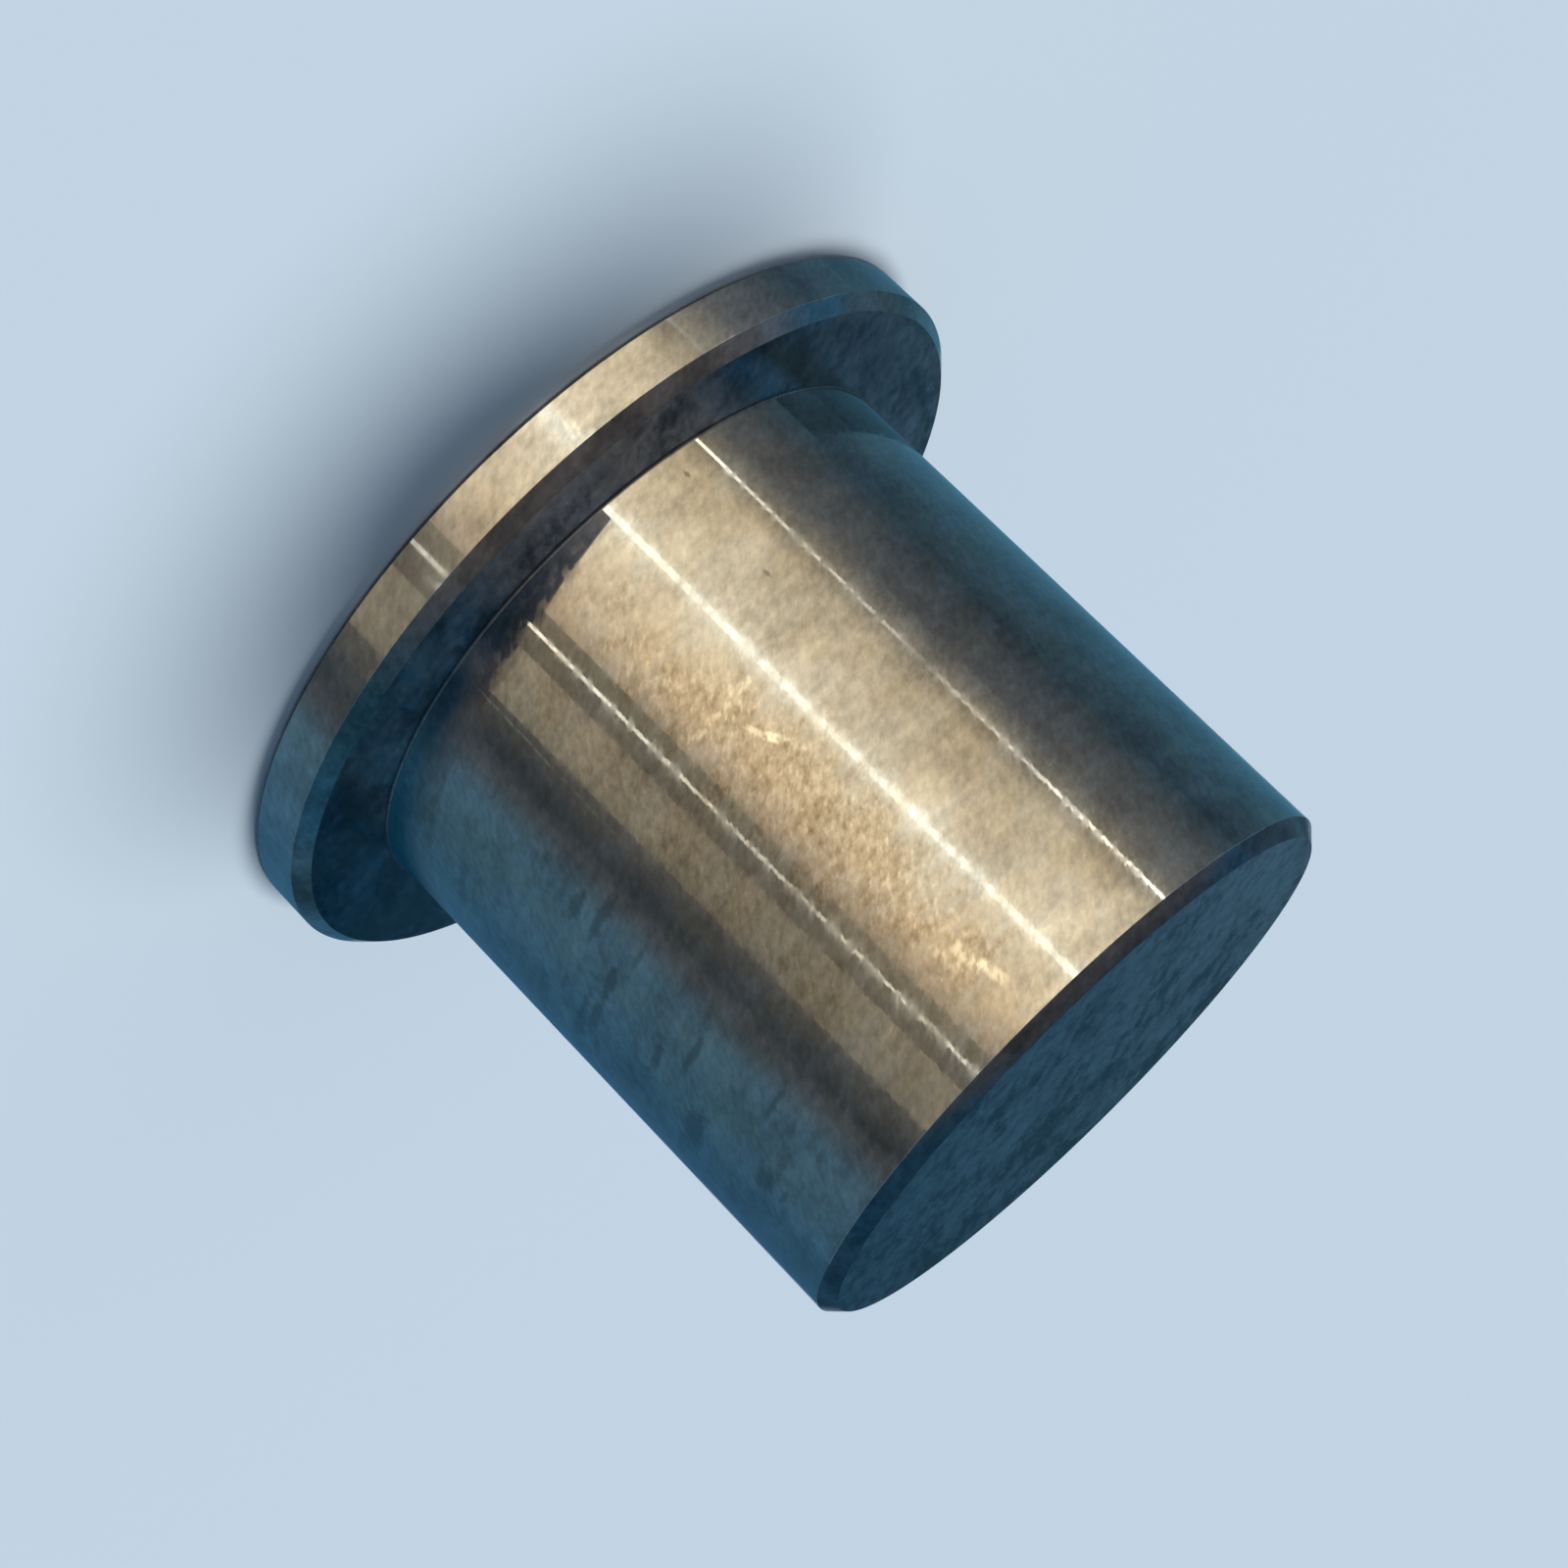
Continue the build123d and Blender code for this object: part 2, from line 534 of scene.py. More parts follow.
@dataclass(frozen=True)
class SteelFinish:
    """Machined steel: its colour, gloss, tool marks and mottling.

    Args:
        name: Name of the material.
        dark: Colour of the steel where it is stained.
        light: Colour of the clean steel.
        warm: Colour of the steel where it has tarnished.
        roughness: Mean roughness.
        anisotropy: How much wider the gloss is across the tool marks than along them.
        mottling: Strength of the cloudy changes of colour.
        grain: Strength of the fine changes of colour.
        flecks: Strength of the bright flecks.
        stained: Strength of the chance stains.
        bead_depth: Depth in millimetres of the waviness that beads a reflected line.
        wave_depth: Depth in millimetres of the slow unevenness.
        groove_depth: Depth in millimetres of the fine grooves round the axis.
        matting: Strength of the fine changes of roughness, which break a reflected line into dashes.
        rust_and_warm_light: Colour of the stained steel in a zone of wear and painted warm highlight:
            partly rusty, partly painted warm light.
        bright: Colour of a scratch.
        marks: Stains and scratches of this finish's own.
        wear_and_highlight: Zones of wear and painted warm highlight, where the fine changes of colour and
            the flecks are strongest.
        faced: Whether it is the finish of a flat end.
        foot_gloss: How much less rough the steel is next to the flange.
        soil_and_shade: Strength of the dull dark bluish spots, partly dirt and partly painted shade towards
            the back and +X.
    """

    name: str
    dark: Colour
    light: Colour
    warm: Colour
    roughness: float
    anisotropy: float
    mottling: float
    grain: float
    flecks: float
    stained: float
    bead_depth: float
    wave_depth: float
    groove_depth: float
    matting: float = 0.05
    rust_and_warm_light: Colour = (0.5, 0.5, 0.5)
    bright: Colour = (0.5, 0.5, 0.5)
    marks: tuple[Stain | Scratch, ...] = ()
    wear_and_highlight: tuple[Stain, ...] = ()
    faced: bool = False
    foot_gloss: float = 0.0
    soil_and_shade: float = 0.0

    def material(self, radius: float) -> bpy.types.Material:
        """Builds the material.

        Args:
            radius: Radius in metres at which lengths round the axis are true.

        Returns:
            The finished material.
        """
        made = bpy.data.materials.new(self.name)
        made.use_nodes = True
        graph = Graph(made.node_tree)
        space = FacedSpace(graph, radius) if self.faced else LatheSpace(graph, radius)
        clouds, smears, grains = (space.sway(pattern) for pattern in (CLOUDS, SMEARS, GRAINS))
        stains = self.stains(space, smears, grains)
        shader = graph.wire(
            "ShaderNodeBsdfPrincipled",
            inputs={
                "Base Color": self.colour(space, clouds, smears, grains, stains),
                "Roughness": self.gloss(space, clouds, stains),
                "Metallic": 1.0,
                "Anisotropic": self.anisotropy,
                "Anisotropic Rotation": QUARTER_TURN,
                "Normal": self.relief(space),
            },
        )
        if self.soil_and_shade:
            shader = self.soiled_and_shaded(space, shader)
        graph.node("ShaderNodeOutputMaterial", inputs={"Surface": shader})
        return made

    def colour(self, space: LatheSpace, clouds: Wire, smears: Wire, grains: Wire, stains: Wire) -> Wire:
        """Mixes the steel's colours.

        Args:
            space: Places on the turned surface.
            clouds: Slow noise about zero.
            smears: Noise about zero, stretched round the axis.
            grains: Fine noise about zero.
            stains: Share of brightness that the stains take away.

        Returns:
            The colour at each place.
        """
        graph = space.graph
        slow = clouds * (CLOUD_SHARE * self.mottling) + smears * (SMEAR_SHARE * self.mottling)
        # Zones of wear and painted warm highlight: grainier, more flecked, warmer steel where the warm
        # highlights show on the body.
        dark, wear_and_highlight = self.dark, None
        for zone in self.wear_and_highlight:
            mask = zone.mask(space, smears * ZONE_FRAY + clouds)
            wear_and_highlight = graph.math("MAXIMUM", wear_and_highlight, mask) if wear_and_highlight else mask
        spots, warmth = space.read(FLECKS), space.read(TARNISH)
        fleck = graph.rise(spots, *FLECK_BAND)
        if wear_and_highlight:
            fine = grains * ((wear_and_highlight * WEAR_AND_HIGHLIGHT_GRAIN + PLAIN_GRAIN) * (GRAIN_SHARE * self.grain))
            fine = fine + fleck * ((wear_and_highlight + PLAIN_FLECKS) * self.flecks)
            dark, warmth = graph.blend(wear_and_highlight, self.dark, self.rust_and_warm_light), warmth + wear_and_highlight * WEAR_AND_HIGHLIGHT_WARMTH
        else:
            fine = grains * (PLAIN_GRAIN * GRAIN_SHARE * self.grain) + fleck * (PLAIN_FLECKS * self.flecks)
        tone = graph.clamp(slow + fine + NOISE_MIDDLE) * (1.0 - stains)
        colour = graph.blend(tone, dark, graph.blend(graph.clamp(warmth), self.light, self.warm))
        if any(isinstance(mark, Scratch) for mark in self.marks):
            dashes = graph.rise(spots, *SCRATCH_BAND) * (1.0 - SCRATCH_LEAST) + SCRATCH_LEAST
            colour = graph.blend(graph.clamp(self.scratches(space, clouds) * dashes), colour, self.bright)
        return colour

    def gloss(self, space: LatheSpace, clouds: Wire, stains: Wire) -> Wire:
        """Works out how rough the steel is.

        Args:
            space: Places on the turned surface.
            clouds: Slow noise about zero.
            stains: Share of brightness that the stains take away.

        Returns:
            The roughness at each place.
        """
        graph = space.graph
        matting = clouds * CLOUD_MATTING + space.sway(MATT_DASHES) * self.matting + stains * STAIN_MATTING
        if self.foot_gloss:
            matting = matting - (1.0 - graph.rise(space.height, *FOOT_BAND)) * self.foot_gloss
        return graph.clamp(matting + self.roughness, *ROUGHNESS_LIMITS)

    def soiled_and_shaded(self, space: LatheSpace, clean: Wire) -> Wire:
        """Lays dull dark spots over the steel: partly dirt, and painted shade where more lie towards the
        back.

        Args:
            space: Places on the turned surface.
            clean: Shader of the clean steel.

        Returns:
            The shader of the steel with its dirt and painted shade.
        """
        graph = space.graph
        # Painted shade: more spots towards the back, and half as much so towards +X.
        behind = (space.y + space.x * PAINTED_SHADE_SIDEWARD) * PAINTED_SHADE_BACKWARD
        spots = space.read(SOIL_SPOTS) + space.sway(SOIL_PATCHES) * SOIL_PATCHINESS + behind
        cover = graph.rise(spots, *SOIL_AND_SHADE_BAND) * self.soil_and_shade
        soil_and_shade = graph.wire("ShaderNodeBsdfPrincipled", inputs={
            "Base Color": (*SOIL_AND_SHADE_COLOUR, 1.0),
            "Roughness": SOIL_AND_SHADE_ROUGHNESS,
            "Specular IOR Level": SOIL_AND_SHADE_SHEEN,
        })
        return graph.wire("ShaderNodeMixShader", inputs={0: cover, 1: clean, 2: soil_and_shade})

    def relief(self, space: LatheSpace) -> Wire:
        """Adds the unevenness of the surface, whose beads are weaker next to the flange.

        Args:
            space: Places on the turned surface.

        Returns:
            The uneven normal.
        """
        graph = space.graph
        beads = space.read(BEADS) * (graph.rise(space.height, *BEAD_BAND) * (1.0 - BEAD_LEAST) + BEAD_LEAST)
        height = beads * self.bead_depth + space.read(WAVES) * self.wave_depth
        height = height + space.read(GROOVES) * self.groove_depth
        return graph.wire("ShaderNodeBump", "Normal",
                          inputs={"Height": height, "Strength": 1.0, "Distance": MM})

    def stains(self, space: LatheSpace, smears: Wire, grains: Wire) -> Wire:
        """Adds the chance stains and the finish's own.

        Args:
            space: Places on the turned surface.
            smears: Noise about zero that frays the stains' ends.
            grains: Fine noise about zero that frays their edges.

        Returns:
            The share of brightness taken away at each place.
        """
        total = space.read(STAIN_SPOTS) * self.stained
        ragged = smears * STAIN_SMEARS + grains * STAIN_GRAINS
        for mark in self.marks:
            if isinstance(mark, Stain):
                total = space.graph.math("MAXIMUM", total, mark.mask(space, ragged))
        return total

    def scratches(self, space: LatheSpace, clouds: Wire) -> Wire:
        """Adds the finish's scratches together.

        Args:
            space: Places on the turned surface.
            clouds: Slow noise about zero that bends the scratches a little.

        Returns:
            The strength of the scratches at each place.
        """
        bend = clouds * SCRATCH_BEND
        masks = [mark.mask(space, bend) for mark in self.marks if isinstance(mark, Scratch)]
        return sum(masks[1:], masks[0])


# Its two zones of wear and painted warm highlight run down the body where the warm highlights show.
GROUND_STEEL = SteelFinish(
    name="ground_steel", dark=(0.15, 0.145, 0.135), light=(0.47, 0.468, 0.462), warm=(0.485, 0.455, 0.41),
    roughness=0.125, anisotropy=0.9, mottling=1.0, grain=1.0, flecks=0.4, stained=0.15,
    bead_depth=0.0026, wave_depth=0.004, groove_depth=0.0002, matting=0.13,
    rust_and_warm_light=(0.19, 0.155, 0.11), bright=(0.7, 0.68, 0.6), marks=STAINS + SCRATCHES,
    wear_and_highlight=(Stain(0.2, 23.5, 3.1, 16.0, 1.0), Stain(18.4, 18.0, 1.5, 17.0, 0.45)), foot_gloss=0.04,
)
# The faced ends carry dull bluish spots: partly dirt, partly painted shade towards the back and +X.
FACED_STEEL = SteelFinish(
    name="faced_steel", dark=(0.13, 0.14, 0.145), light=(0.46, 0.465, 0.47), warm=(0.46, 0.46, 0.44),
    roughness=0.2, anisotropy=0.2, mottling=2.6, grain=1.8, flecks=0.1, stained=0.4,
    bead_depth=0.003, wave_depth=0.008, groove_depth=0.0004, faced=True, soil_and_shade=0.62,
)
RIM_STEEL = SteelFinish(
    name="turned_rim_steel", dark=(0.15, 0.147, 0.142), light=(0.47, 0.47, 0.475), warm=(0.48, 0.465, 0.44),
    roughness=0.15, anisotropy=0.8, mottling=1.0, grain=1.0, flecks=0.3, stained=0.25,
    bead_depth=0.004, wave_depth=0.006, groove_depth=0.0004, bright=(0.62, 0.6, 0.52), marks=RIM_SCRATCHES,
)
EDGE_STEEL = SteelFinish(
    name="chamfer_steel", dark=(0.2, 0.19, 0.18), light=(0.46, 0.445, 0.43), warm=(0.48, 0.43, 0.38),
    roughness=0.22, anisotropy=0.4, mottling=2.2, grain=1.6, flecks=0.2, stained=0.5,
    bead_depth=0.002, wave_depth=0.003, groove_depth=0.0003,
)
# Darker copy of the steel in the corner between the body and the flange: painted shade.
SHADED_ROOT_STEEL = SteelFinish(
    name="soiled_corner_steel", dark=(0.09, 0.09, 0.09), light=(0.3, 0.3, 0.3), warm=(0.3, 0.29, 0.27),
    roughness=0.34, anisotropy=0.3, mottling=1.0, grain=1.2, flecks=0.0, stained=0.5,
    bead_depth=0.002, wave_depth=0.0, groove_depth=0.0003,
)
BORED_STEEL = SteelFinish(
    name="bored_steel", dark=(0.2, 0.2, 0.2), light=(0.46, 0.46, 0.45), warm=(0.46, 0.44, 0.4),
    roughness=0.28, anisotropy=0.8, mottling=1.0, grain=1.0, flecks=0.0, stained=0.3,
    bead_depth=0.003, wave_depth=0.003, groove_depth=0.002,
)
# Darker, bluer copy of the chamfer steel for the nose's chamfer: painted shade.
SHADED_NOSE_EDGE_STEEL = SteelFinish(
    name="nose_chamfer_steel", dark=(0.12, 0.125, 0.13), light=(0.32, 0.32, 0.345), warm=(0.32, 0.3, 0.32),
    roughness=0.22, anisotropy=0.4, mottling=2.2, grain=1.6, flecks=0.0, stained=0.5,
    bead_depth=0.002, wave_depth=0.003, groove_depth=0.0003,
)


class Workpiece:
    """Edit-mode work on one turned piece, whose faces and edges are picked by their place.

    Attributes:
        piece: The piece.
        sharp_from: Angle in degrees from which an edge is shaded sharp.
    """

    sharp_from = 32.0

    def __init__(self, name: str, radius: float, height: float, segments: int) -> None:
        """Starts from a plain disc that stands on the origin.

        Args:
            name: Name of the piece.
            radius: Radius of the disc.
            height: Thickness of the disc.
            segments: Number of faces round the axis.
        """
        bpy.ops.object.select_all(action="DESELECT")
        bpy.ops.mesh.primitive_cylinder_add(vertices=segments, radius=radius, depth=height,
                                            end_fill_type="NGON", location=(0.0, 0.0, height / 2))
        self.piece = bpy.context.active_object
        self.piece.name = name
        bpy.ops.object.transform_apply(location=True, rotation=True, scale=True)

    def edit(self, mode: str) -> None:
        """Goes into edit mode with nothing picked.

        Args:
            mode: What is picked there: VERT, EDGE or FACE.
        """
        if bpy.context.mode != "EDIT_MESH":
            bpy.ops.object.mode_set(mode="EDIT")
        bpy.ops.mesh.select_mode(type=mode)
        bpy.ops.mesh.select_all(action="DESELECT")

    def done(self) -> None:
        """Leaves edit mode."""
        bpy.ops.object.mode_set(mode="OBJECT")

    def pick_end(self, height: float) -> None:
        """Picks the flat end face over the axis at a height.

        Args:
            height: Height of the face.
        """
        self.edit("FACE")
        mesh = bmesh.from_edit_mesh(self.piece.data)
        for face in mesh.faces:
            middle = face.calc_center_median()
            face.select = abs(middle.z - height) < TOUCH and middle.xy.length < TOUCH
        bmesh.update_edit_mesh(self.piece.data)

    def pick_edges(self, test: Callable[[Vector, Vector], bool]) -> None:
        """Picks the edges whose two ends pass a test.

        Args:
            test: Takes the places of both ends and says whether to pick the edge.
        """
        self.edit("EDGE")
        mesh = bmesh.from_edit_mesh(self.piece.data)
        for edge in mesh.edges:
            edge.select = test(edge.verts[0].co, edge.verts[1].co)
        bmesh.update_edit_mesh(self.piece.data)

    def pick_ring(self, radius: float, height: float) -> None:
        """Picks the ring of edges at a radius and a height.

        Args:
            radius: Distance from the axis.
            height: Height of the ring.
        """
        def on_ring(a: Vector, b: Vector) -> bool:
            """Says whether both ends lie on the ring."""
            return all(abs(p.xy.length - radius) < TOUCH and abs(p.z - height) < TOUCH for p in (a, b))

        self.pick_edges(on_ring)

    def step_in(self, height: float, radius_step: float, travel: float) -> None:
        """Insets the end face over the axis and draws the smaller disc out along the axis.

        Args:
            height: Height of the end face.
            radius_step: How far its edge moves inwards.
            travel: How far the inner disc then moves along +Z.
        """
        self.pick_end(height)
        bpy.ops.mesh.inset(thickness=radius_step)
        bpy.ops.mesh.extrude_region_move(TRANSFORM_OT_translate={"value": (0.0, 0.0, travel)})

    def cut_corner(self, radius: float, height: float, width: float, steps: int = 1) -> None:
        """Bevels a ring: one step makes a chamfer, and several make a round corner.

        Args:
            radius: Radius of the ring.
            height: Height of the ring.
            width: Width of the bevel on each side.
            steps: Number of faces across it.
        """
        self.pick_ring(radius, height)
        bpy.ops.mesh.bevel(offset=width, segments=steps, profile=0.5, affect="EDGES", clamp_overlap=False)

    def divide_wall(self, radius: float, low: float, high: float, cuts: int) -> None:
        """Cuts a cylindrical wall into rings, so that its faces aren't long slivers.

        Args:
            radius: Radius of the wall.
            low: Height where the wall starts.
            high: Height where it ends.
            cuts: Number of cuts.
        """
        def along_wall(a: Vector, b: Vector) -> bool:
            """Says whether the edge runs the whole length of the wall."""
            near = all(abs(p.xy.length - radius) < TOUCH for p in (a, b))
            return near and abs(abs(a.z - b.z) - (high - low)) < TOUCH

        self.pick_edges(along_wall)
        bpy.ops.mesh.subdivide(number_cuts=cuts)

    def close_end(self, height: float, radius: float, rings: int) -> None:
        """Divides the round end face over the axis into rings and a fan, which closes at its middle.

        Args:
            height: Height of the face.
            radius: Radius of the face.
            rings: Number of rings.
        """
        self.pick_end(height)
        for _ in range(rings - 1):
            bpy.ops.mesh.inset(thickness=radius / rings)
        bpy.ops.mesh.poke()

    def clean(self) -> None:
        """Merges doubles and turns all faces outwards."""
        self.edit("VERT")
        bpy.ops.mesh.select_all(action="SELECT")
        bpy.ops.mesh.remove_doubles(threshold=MERGE)
        bpy.ops.mesh.normals_make_consistent(inside=False)
        self.done()

    def smooth(self) -> None:
        """Shades the piece smooth, with the large faces keeping their own direction at the edges."""
        bpy.ops.object.shade_smooth_by_angle(angle=math.radians(self.sharp_from))
        bpy.ops.object.modifier_add(type="WEIGHTED_NORMAL")
        modifier = self.piece.modifiers[-1]
        modifier.keep_sharp = True
        bpy.ops.object.modifier_apply(modifier=modifier.name)


@dataclass
class Bushing:
    """The bushing, turned from one bar.

    Args:
        sizes: Its sizes.
        segments: Number of faces round the axis.
        wall_cuts: Number of rings that a long wall is cut into.
        corner_steps: Number of faces across a fillet.
        round_steps: Number of faces across the rounding of a chamfer's edge.
        nose_rings: Number of rings in the nose's end face.
        floor_rings: Number of rings in the bore's floor.
        flat_from: Share of a face's direction along the axis from which it is a flat end.
        sloped_from: The same from which it is a chamfer.
        finishes: Finish of each surface, in the order of Surface.
    """

    sizes: Sizes
    segments: int = 288
    wall_cuts: int = 15
    corner_steps: int = 6
    round_steps: int = 2
    nose_rings: int = 6
    floor_rings: int = 4
    flat_from: float = 0.9
    sloped_from: float = 0.3
    finishes: tuple[SteelFinish, ...] = (
        GROUND_STEEL, FACED_STEEL, RIM_STEEL, EDGE_STEEL, SHADED_ROOT_STEEL, BORED_STEEL, SHADED_NOSE_EDGE_STEEL,
    )

    def build(self) -> bpy.types.Object:
        """Models and dresses the bushing.

        Returns:
            The finished piece.
        """
        s = self.sizes
        work = Workpiece("bushing_steel", s.flange_radius, s.flange_top, self.segments)
        self.turn_blank(work)
        self.break_edges(work)
        work.divide_wall(s.body_radius, s.flange_top + s.root_fillet,
                         s.height - s.nose_chamfer - s.edge_round, self.wall_cuts)
        work.divide_wall(s.bore_radius, s.mouth_chamfer + s.edge_round,
                         s.bore_floor - s.floor_fillet, self.wall_cuts)
        work.close_end(s.height, s.body_radius - s.nose_chamfer, self.nose_rings)
        work.close_end(s.bore_floor, s.bore_radius - s.floor_fillet, self.floor_rings)
        work.clean()
        self.dress(work.piece)
        work.smooth()
        log.info("bushing: %d faces, %.2f mm high", len(work.piece.data.polygons), s.height / MM)
        return work.piece

    def turn_blank(self, work: Workpiece) -> None:
        """Draws the body and the blind bore out of the flange's disc.

        Args:
            work: The piece, as the flange's plain disc.
        """
        s = self.sizes
        work.step_in(s.flange_top, s.flange_radius - s.body_radius, s.height - s.flange_top)
        work.step_in(0.0, s.flange_radius - s.bore_radius, s.bore_floor)

    def break_edges(self, work: Workpiece) -> None:
        """Cuts the chamfers and fillets, then takes the sharpness off the chamfers' edges.

        Args:
            work: The piece, with all its edges sharp.
        """
        s = self.sizes
        work.cut_corner(s.body_radius, s.flange_top, s.root_fillet, self.corner_steps)
        work.cut_corner(s.bore_radius, s.bore_floor, s.floor_fillet, self.corner_steps)
        chamfers = (
            (s.body_radius, s.height, s.nose_chamfer, -1.0, -1.0),
            (s.flange_radius, s.flange_top, s.flange_chamfer, -1.0, -1.0),
            (s.flange_radius, 0.0, s.back_break, -1.0, 1.0),
            (s.bore_radius, 0.0, s.mouth_chamfer, 1.0, 1.0),
        )
        for radius, height, width, side, rise in chamfers:
            work.cut_corner(radius, height, width)
            work.cut_corner(radius + side * width, height, s.edge_round, self.round_steps)
            work.cut_corner(radius, height + rise * width, s.edge_round, self.round_steps)

    def surface_at(self, place: Vector, normal: Vector) -> Surface:
        """Tells which machined surface a face belongs to.

        Args:
            place: Middle of the face.
            normal: Direction that it faces.

        Returns:
            The surface.
        """
        s = self.sizes
        out = place.xy.length
        mouth = s.bore_radius + s.mouth_chamfer - 2 * s.edge_round
        if out < mouth and place.z < s.bore_floor + s.edge_round:
            return Surface.BORED
        if out < s.body_radius + s.root_fillet and s.flange_top < place.z < s.flange_top + s.root_fillet:
            return Surface.ROOT
        if abs(normal.z) > self.flat_from:
            return Surface.FACED
        if abs(normal.z) > self.sloped_from:
            return Surface.EDGE if place.z < s.flange_top else Surface.NOSE_EDGE
        return Surface.RIM if out > s.flange_radius - s.edge_round else Surface.GROUND

    def dress(self, piece: bpy.types.Object) -> None:
        """Gives each machined surface its finish.

        Args:
            piece: The modelled piece.
        """
        for surface in Surface:
            piece.data.materials.append(self.finishes[surface].material(self.sizes.body_radius))
        for face in piece.data.polygons:
            face.material_index = self.surface_at(face.center, face.normal)


@dataclass(frozen=True)
class Viewpoint:
    """The camera: it looks down at the bushing and is rolled about its own line of sight.

    Args:
        place: Place of the camera in metres.
        tilt_down: Angle of its line of sight below the horizon, in degrees.
        roll: Turn about the line of sight, in degrees.
        lens_mm: Focal length.
        sensor_mm: Width of the sensor.
        sees_from: Nearest distance that it sees, in metres.
        sees_to: Farthest distance.
    """

    place: tuple[float, float, float] = (0.0, -0.176387, 0.067288)
    tilt_down: float = 16.095
    roll: float = 134.97
    lens_mm: float = 73.607
    sensor_mm: float = 36.0
    sees_from: float = 0.01
    sees_to: float = 30.0

    def build(self) -> bpy.types.Object:
        """Adds the camera and makes it the scene's own.

        Returns:
            The camera object.
        """
        data = bpy.data.cameras.new("camera")
        data.sensor_width = self.sensor_mm
        data.lens = self.lens_mm
        data.clip_start = self.sees_from
        data.clip_end = self.sees_to
        camera = bpy.data.objects.new("camera", data)
        aim = Matrix.Rotation(math.radians(90.0 - self.tilt_down), 4, "X")
        aim @= Matrix.Rotation(math.radians(self.roll), 4, "Z")
        camera.matrix_world = Matrix.Translation(self.place) @ aim
        bpy.context.scene.collection.objects.link(camera)
        bpy.context.scene.camera = camera
        return camera


SHEET_MARKS = ("share", "level")


@dataclass(frozen=True)
class Glow:
    """Light of a sheet, which changes from its first edge to its second.

    Args:
        first: Colour and brightness at the first edge.
        second: The same at the second edge.
        bow: How late the change comes: above 1 it is late, and below 1 early.
        far: Light that it turns into along the sheet, as the sheet's level goes from 0 to 1.
    """

    first: Colour
    second: Colour
    bow: float = 1.0
    far: "Glow | None" = None

    def material(self, name: str, strength: float = 1.0) -> bpy.types.Material:
        """Builds the light, which shines from the upper side of the sheet only.

        Args:
            name: Name of the material.
            strength: Factor on both colours.

        Returns:
            The glowing material.
        """
        made = bpy.data.materials.new(name)
        made.use_nodes = True
        made.cycles.emission_sampling = "NONE"
        graph = Graph(made.node_tree)
        share, level = (graph.wire("ShaderNodeAttribute", "Fac", {"attribute_name": mark})
                        for mark in SHEET_MARKS)
        colour = graph.blend(graph.math("POWER", share, self.bow), self.first, self.second)
        if self.far:
            far = graph.blend(graph.math("POWER", share, self.far.bow), self.far.first, self.far.second)
            colour, level = graph.blend(level, colour, far), 1.0
        light = graph.wire("ShaderNodeEmission", inputs={"Color": colour, "Strength": level * strength})
        clear = graph.wire("ShaderNodeBsdfTransparent")
        under = graph.wire("ShaderNodeNewGeometry", "Backfacing")
        shader = graph.wire("ShaderNodeMixShader", inputs={0: under, 1: light, 2: clear})
        graph.node("ShaderNodeOutputMaterial", inputs={"Surface": shader})
        return made


def hang_sheet(name: str, columns: int, rows: int, place: Callable[[float, float], Vector],
               material: bpy.types.Material, levels: Levels) -> None:
    """Adds a sheet of light that shows only in the gloss of the metal.

    Args:
        name: Name of the sheet.
        columns: Number of faces from its first edge to its second.
        rows: Number of faces along it.
        place: Gives the point at a share of its width and a share of its length, both from 0 to 1.
        material: Its light.
        levels: Strength of the light at even steps from its start to its end.
    """
    bpy.ops.object.select_all(action="DESELECT")
    bpy.ops.mesh.primitive_grid_add(x_subdivisions=columns, y_subdivisions=rows, size=1.0)
    sheet = bpy.context.active_object
    sheet.name = name
    for mark in SHEET_MARKS:
        sheet.data.attributes.new(mark, "FLOAT", "POINT")
    shares, strengths = (sheet.data.attributes[mark].data for mark in SHEET_MARKS)
    for vertex, share, strength in zip(sheet.data.vertices, shares, strengths):
        depth = min(max(vertex.co.y + 0.5, 0.0), 1.0)
        share.value = min(max(0.5 - vertex.co.x, 0.0), 1.0)
        climb = depth * (len(levels) - 1)
        step = min(int(climb), len(levels) - 2)
        strength.value = levels[step] + (levels[step + 1] - levels[step]) * (climb - step)
        vertex.co = place(share.value, depth)
    sheet.data.materials.append(material)
    sheet.visible_camera = False
    sheet.visible_diffuse = False
    sheet.visible_transmission = False
    sheet.visible_volume_scatter = False
    sheet.visible_shadow = False


@dataclass(frozen=True)
class Catch:
    """Where the sheets of one kind lie.

    Args:
        start: Radius of the surface that the light paths come from.
        near: Distance from the axis at which the sheets start.
        far: Distance at which they end.
        foot: Height at which they start.
        slope: Their rise for one along.
        rows: Number of faces along them.
    """

    start: float
    near: float
    far: float
    foot: float
    slope: float
    rows: int

    def point(self, angle: float, reach: float, eye: Vector) -> Vector:
        """Finds a point on the path that light takes over the surface to the eye.

        Args:
            angle: Angle round the axis, in degrees, at which the point shows.
            reach: Distance of the point from the axis.
            eye: Place of the eye.

        Returns:
            The point in metres.
        """
        turn = math.radians(angle)
        out = Vector((math.sin(turn), -math.cos(turn)))
        begin = out * self.start
        ray = (begin - eye.xy).reflect(out).normalized()
        along = begin.dot(ray)
        travel = math.sqrt(along * along + reach * reach - self.start * self.start) - along
        place = begin + ray * travel
        return Vector((place.x, place.y, self.foot + self.slope * (reach - self.near)))


